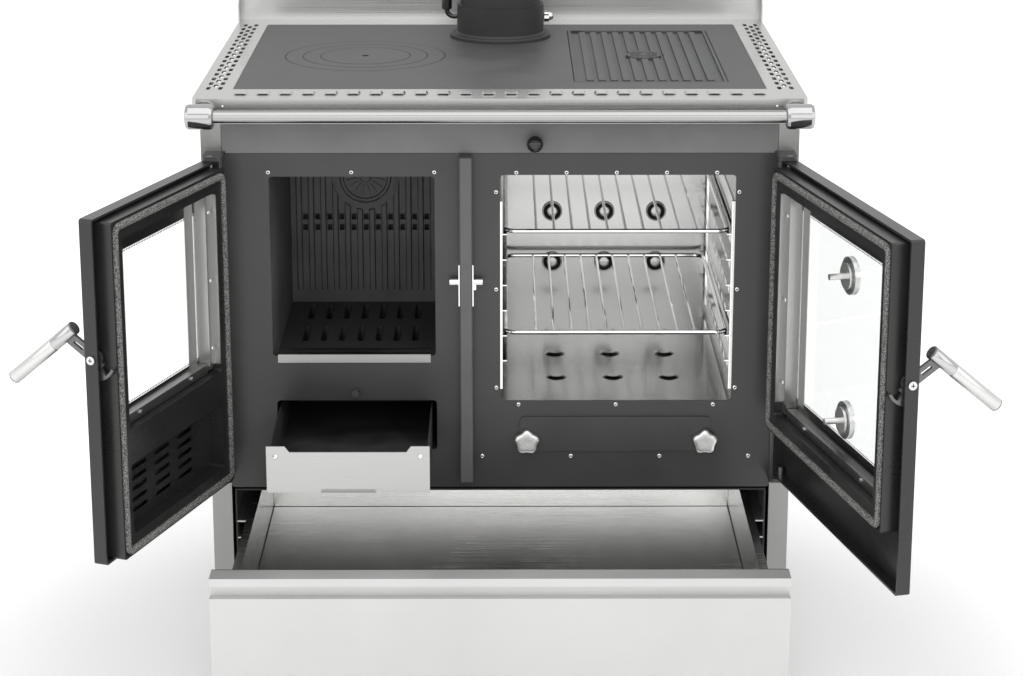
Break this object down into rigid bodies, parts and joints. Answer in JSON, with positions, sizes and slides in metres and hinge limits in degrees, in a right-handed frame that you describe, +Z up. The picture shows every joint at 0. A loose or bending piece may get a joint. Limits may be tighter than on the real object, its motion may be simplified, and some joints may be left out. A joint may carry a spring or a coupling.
{
  "type": "wood cookstove",
  "caption": "Wood-burning cookstove with a glazed firebox door, glazed oven door, ash drawer, wood drawer, cast cooking plate with lift-off rings and griddle, flue spigot with damper.",
  "frame": {"origin": "On the floor, under the middle of the plinth's front edge.", "axes": "+X to the right seen from the front, +Y to the back, +Z up."},
  "size_m": [1.1956, 1.0063, 0.96],
  "materials": {
    "stainless": "brushed stainless sheet",
    "bright_stainless": "bright annealed stainless sheet",
    "galvanised": "galvanised sheet",
    "black_steel": "black powder coat",
    "black_enamel": "satin black heat-proof paint",
    "dark_steel": "dark heat-proof paint on steel",
    "cast_iron": "fine cast, blackened",
    "chrome": "polished",
    "black_knob": "gloss black",
    "gasket_rope": "knitted glass-fibre rope",
    "clear_glass": "clear ceramic glass with a printed border"
  },
  "bodies": {
    "stove": {"ash_liner": "dark_steel", "back_panel": "galvanised", "backsplash": "stainless", "base_plate": "galvanised", "control_panel": "black_enamel", "cooking_plate": "cast_iron", "door_strikers": "chrome", "drawer_bay": "dark_steel", "drawer_runners": "galvanised", "firebox_back_plate": "cast_iron", "firebox_shell": "dark_steel", "firebox_side_plates": "cast_iron", "flue_collar": "cast_iron", "flue_pipe": "cast_iron", "frame_screws": "chrome", "front_frame": "black_enamel", "grate_bed": "cast_iron", "hand_rail": "stainless", "hinge_lugs": "black_enamel", "levelling_feet": "black_steel", "log_guard": "stainless", "mullion": "black_enamel", "oven_box": "bright_stainless", "plinth": "black_steel", "rack_guides": "chrome", "rail_brackets": "chrome", "side_panel_left": "stainless", "side_panel_right": "stainless", "top_frame": "stainless"},
    "firebox_door": {"firebox_door_pan": "black_enamel", "firebox_door_box": "black_enamel", "firebox_door_gasket": "gasket_rope", "firebox_door_glass": "clear_glass", "firebox_door_fittings": "stainless", "firebox_door_baffle": "black_enamel"},
    "firebox_handle": {"firebox_door_handle": "chrome"},
    "oven_door": {"oven_door_pan": "black_enamel", "oven_door_box": "black_enamel", "oven_door_gasket": "gasket_rope", "oven_door_glass": "clear_glass", "oven_door_fittings": "stainless", "oven_thermometers": "chrome"},
    "oven_handle": {"oven_door_handle": "chrome"},
    "ash_drawer": {"ash_drawer_box": "dark_steel", "ash_drawer_front": "stainless"},
    "wood_drawer": {"wood_drawer_box": "bright_stainless", "wood_drawer_front": "stainless"},
    "rack_lower": {"oven_rack_lower": "chrome"},
    "rack_upper": {"oven_rack_upper": "chrome"},
    "ring_outer": {"ring_outer": "cast_iron"},
    "ring_middle": {"ring_middle": "cast_iron"},
    "ring_disc": {"ring_disc": "cast_iron"},
    "griddle": {"griddle_insert": "cast_iron"},
    "grate": {"fire_grate": "cast_iron"},
    "air_slider": {"air_control": "black_knob"},
    "flue_damper": {"damper_lever": "black_knob", "damper_blade": "cast_iron"},
    "cleanout": {"cleanout_cover": "black_enamel"},
    "star_left": {"star_knob_left": "chrome"},
    "star_right": {"star_knob_right": "chrome"}
  },
  "joints": [
    {"name": "firebox_door_hinge", "type": "hinge", "parent": "stove", "child": "firebox_door", "pos_m": [-0.38, -0.0545, 0.336], "axis": [0, 0, -1], "range_deg": [-110, 8]},
    {"name": "firebox_handle_turn", "type": "hinge", "parent": "firebox_door", "child": "firebox_handle", "pos_m": [-0.48876, -0.35332, 0.601], "axis": [0.342, 0.9397, 0], "range_deg": [-50, 0]},
    {"name": "oven_door_hinge", "type": "hinge", "parent": "stove", "child": "oven_door", "pos_m": [0.38, -0.0545, 0.336], "axis": [0, 0, 1], "range_deg": [-104, 14]},
    {"name": "oven_handle_turn", "type": "hinge", "parent": "oven_door", "child": "oven_handle", "pos_m": [0.47895, -0.45135, 0.601], "axis": [0.2419, -0.9703, 0], "range_deg": [-50, 0]},
    {"name": "ash_drawer_slide", "type": "slide", "parent": "stove", "child": "ash_drawer", "axis": [0, -1, 0], "range_m": [-0.1881, 0.0139]},
    {"name": "wood_drawer_slide", "type": "slide", "parent": "stove", "child": "wood_drawer", "axis": [0, -1, 0], "range_m": [-0.27, 0.12]},
    {"name": "rack_lower_slide", "type": "slide", "parent": "stove", "child": "rack_lower", "axis": [0, -1, 0], "range_m": [0, 0.26]},
    {"name": "rack_upper_slide", "type": "slide", "parent": "stove", "child": "rack_upper", "axis": [0, -1, 0], "range_m": [0, 0.26]},
    {"name": "ring_outer_lift", "type": "slide", "parent": "stove", "child": "ring_outer", "axis": [0, 0, 1], "range_m": [0, 0.1]},
    {"name": "ring_middle_lift", "type": "slide", "parent": "ring_outer", "child": "ring_middle", "axis": [0, 0, 1], "range_m": [0, 0.05]},
    {"name": "ring_disc_lift", "type": "slide", "parent": "ring_middle", "child": "ring_disc", "axis": [0, 0, 1], "range_m": [0, 0.05]},
    {"name": "griddle_lift", "type": "slide", "parent": "stove", "child": "griddle", "axis": [0, 0, 1], "range_m": [0, 0.12]},
    {"name": "grate_shake", "type": "slide", "parent": "stove", "child": "grate", "axis": [0, -1, 0], "range_m": [0, 0.03]},
    {"name": "air_slide", "type": "slide", "parent": "stove", "child": "air_slider", "axis": [0, -1, 0], "range_m": [0, 0.03]},
    {"name": "flue_damper_turn", "type": "hinge", "parent": "stove", "child": "flue_damper", "pos_m": [0, 0.399, 0.889], "axis": [1, 0, 0], "range_deg": [0, 90]},
    {"name": "cleanout_lift", "type": "slide", "parent": "stove", "child": "cleanout", "axis": [0, -1, 0], "range_m": [0, 0.08]},
    {"name": "star_left_turn", "type": "hinge", "parent": "cleanout", "child": "star_left", "pos_m": [0.036, -0.024, 0.379], "axis": [0, -1, 0], "continuous": true},
    {"name": "star_right_turn", "type": "hinge", "parent": "cleanout", "child": "star_right", "pos_m": [0.278, -0.024, 0.379], "axis": [0, -1, 0], "continuous": true}
  ],
  "couplings": [
    {"joint": "ash_drawer_slide", "follows": "firebox_door_hinge", "m_per_rad": 0.097924}
  ]
}
